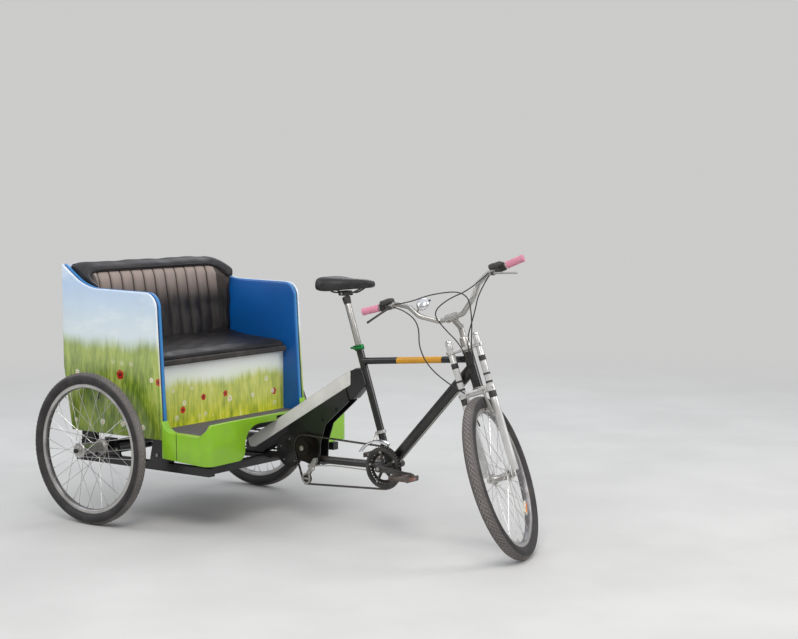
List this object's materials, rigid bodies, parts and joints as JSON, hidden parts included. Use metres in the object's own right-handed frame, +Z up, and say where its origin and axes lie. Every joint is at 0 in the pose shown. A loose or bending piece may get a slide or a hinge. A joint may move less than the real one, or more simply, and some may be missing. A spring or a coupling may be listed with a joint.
{
  "type": "cycle rickshaw",
  "caption": "Three-wheeled pedal cab with a cushioned passenger bench in a green tub between spoked rear wheels, and a rider's saddle, cranks and steered front wheel ahead.",
  "frame": {"origin": "on the ground, midway along and across the parked vehicle's bounding box", "axes": "+X forwards, +Y to the vehicle's left, +Z up"},
  "size_m": [2.2873, 1.276, 1.2035],
  "materials": {
    "green_wall": "gloss lime green fibreglass panel with printed field artwork",
    "apron_green": "glossy moulded fibreglass, lime green",
    "riser_print": "printed laminate, pale sky over grass",
    "deck_wood": "plain plywood",
    "floor": "dark textured fibreglass",
    "mat": "ribbed rubber, dusty",
    "vinyl": "pleated dark brown-black vinyl",
    "frame_black": "gloss black paint",
    "beam_cover": "off-white glossy cover",
    "silver": "polished aluminium",
    "fork_silver": "silver-white paint",
    "steel": "bright plated steel",
    "chain_steel": "oiled steel",
    "tyre": "black rubber, dusty tread",
    "rim": "dull polished alloy",
    "grip": "pink soft rubber",
    "control_black": "moulded black plastic",
    "cable": "black cable housing",
    "pale_cable": "pale grey cable housing",
    "clamp_green": "anodised green",
    "saddle": "smooth black cover",
    "lamp_red": "red lens",
    "chrome": "polished chrome"
  },
  "bodies": {
    "root": {"side_wall_right": "green_wall", "side_wall_left": "green_wall", "back_panel": "green_wall", "apron": "apron_green", "seat_riser": "riser_print", "seat_deck": "deck_wood", "tub_floor": "floor", "footwell_mat": "mat", "seat_cushion": "vinyl", "seat_back": "vinyl", "back_roll": "vinyl", "tail_lamps": "lamp_red", "ladder_frame": "frame_black", "axle_beam": "frame_black", "differential": "steel", "main_beam": "frame_black", "beam_cover": "beam_cover", "drive_plates": "frame_black", "lower_boom": "frame_black", "tub_mounts": "frame_black", "head_tube": "frame_black", "seat_tube": "frame_black", "top_tube": "frame_black", "down_tube": "frame_black", "seat_clamp": "clamp_green", "seatpost": "silver", "saddle": "saddle", "front_chain": "chain_steel", "rear_chain": "chain_steel", "derailleurs": "steel", "frame_cable": "pale_cable"},
    "steering": {"fork_crowns": "fork_silver", "fork_legs": "fork_silver", "front_brake": "silver", "stem": "silver", "handlebar": "silver", "grips": "grip", "hand_controls": "control_black", "bell": "chrome", "bar_cables": "cable"},
    "front_road_wheel": {"front_wheel": "rim", "front_tyre": "tyre"},
    "right_road_wheel": {"rear_wheel_right": "rim", "rear_tyre_right": "tyre"},
    "left_road_wheel": {"rear_wheel_left": "rim", "rear_tyre_left": "tyre"},
    "cranks": {"crank_set": "frame_black"},
    "right_pedal": {"pedal_right": "silver"},
    "left_pedal": {"pedal_left": "silver"},
    "middle_drive": {"mid_drive": "steel"}
  },
  "joints": [
    {"name": "steering_turn", "type": "hinge", "parent": "root", "child": "steering", "pos_m": [1.0883, 0, 0], "axis": [-0.3338, 0, 0.9426], "range_deg": [0, 147.6]},
    {"name": "front_wheel_spin", "type": "hinge", "parent": "steering", "child": "front_road_wheel", "pos_m": [0.98805, -0.04033, 0.31819], "axis": [0.9052, 0.279, 0.3206], "continuous": true},
    {"name": "right_wheel_spin", "type": "hinge", "parent": "root", "child": "right_road_wheel", "pos_m": [-0.8097, -0.554, 0.334], "axis": [0, 1, 0], "continuous": true},
    {"name": "left_wheel_spin", "type": "hinge", "parent": "root", "child": "left_road_wheel", "pos_m": [-0.8097, 0.554, 0.334], "axis": [0, 1, 0], "continuous": true},
    {"name": "cranks_turn", "type": "hinge", "parent": "root", "child": "cranks", "pos_m": [0.4123, 0, 0.3], "axis": [0, 1, 0], "continuous": true},
    {"name": "right_pedal_turn", "type": "hinge", "parent": "cranks", "child": "right_pedal", "pos_m": [0.58189, -0.14, 0.28814], "axis": [0, 1, 0], "continuous": true},
    {"name": "left_pedal_turn", "type": "hinge", "parent": "cranks", "child": "left_pedal", "pos_m": [0.24271, 0.14, 0.31186], "axis": [0, 1, 0], "continuous": true},
    {"name": "middle_drive_turn", "type": "hinge", "parent": "root", "child": "middle_drive", "pos_m": [-0.0097, 0, 0.345], "axis": [0, 1, 0], "continuous": true}
  ]
}
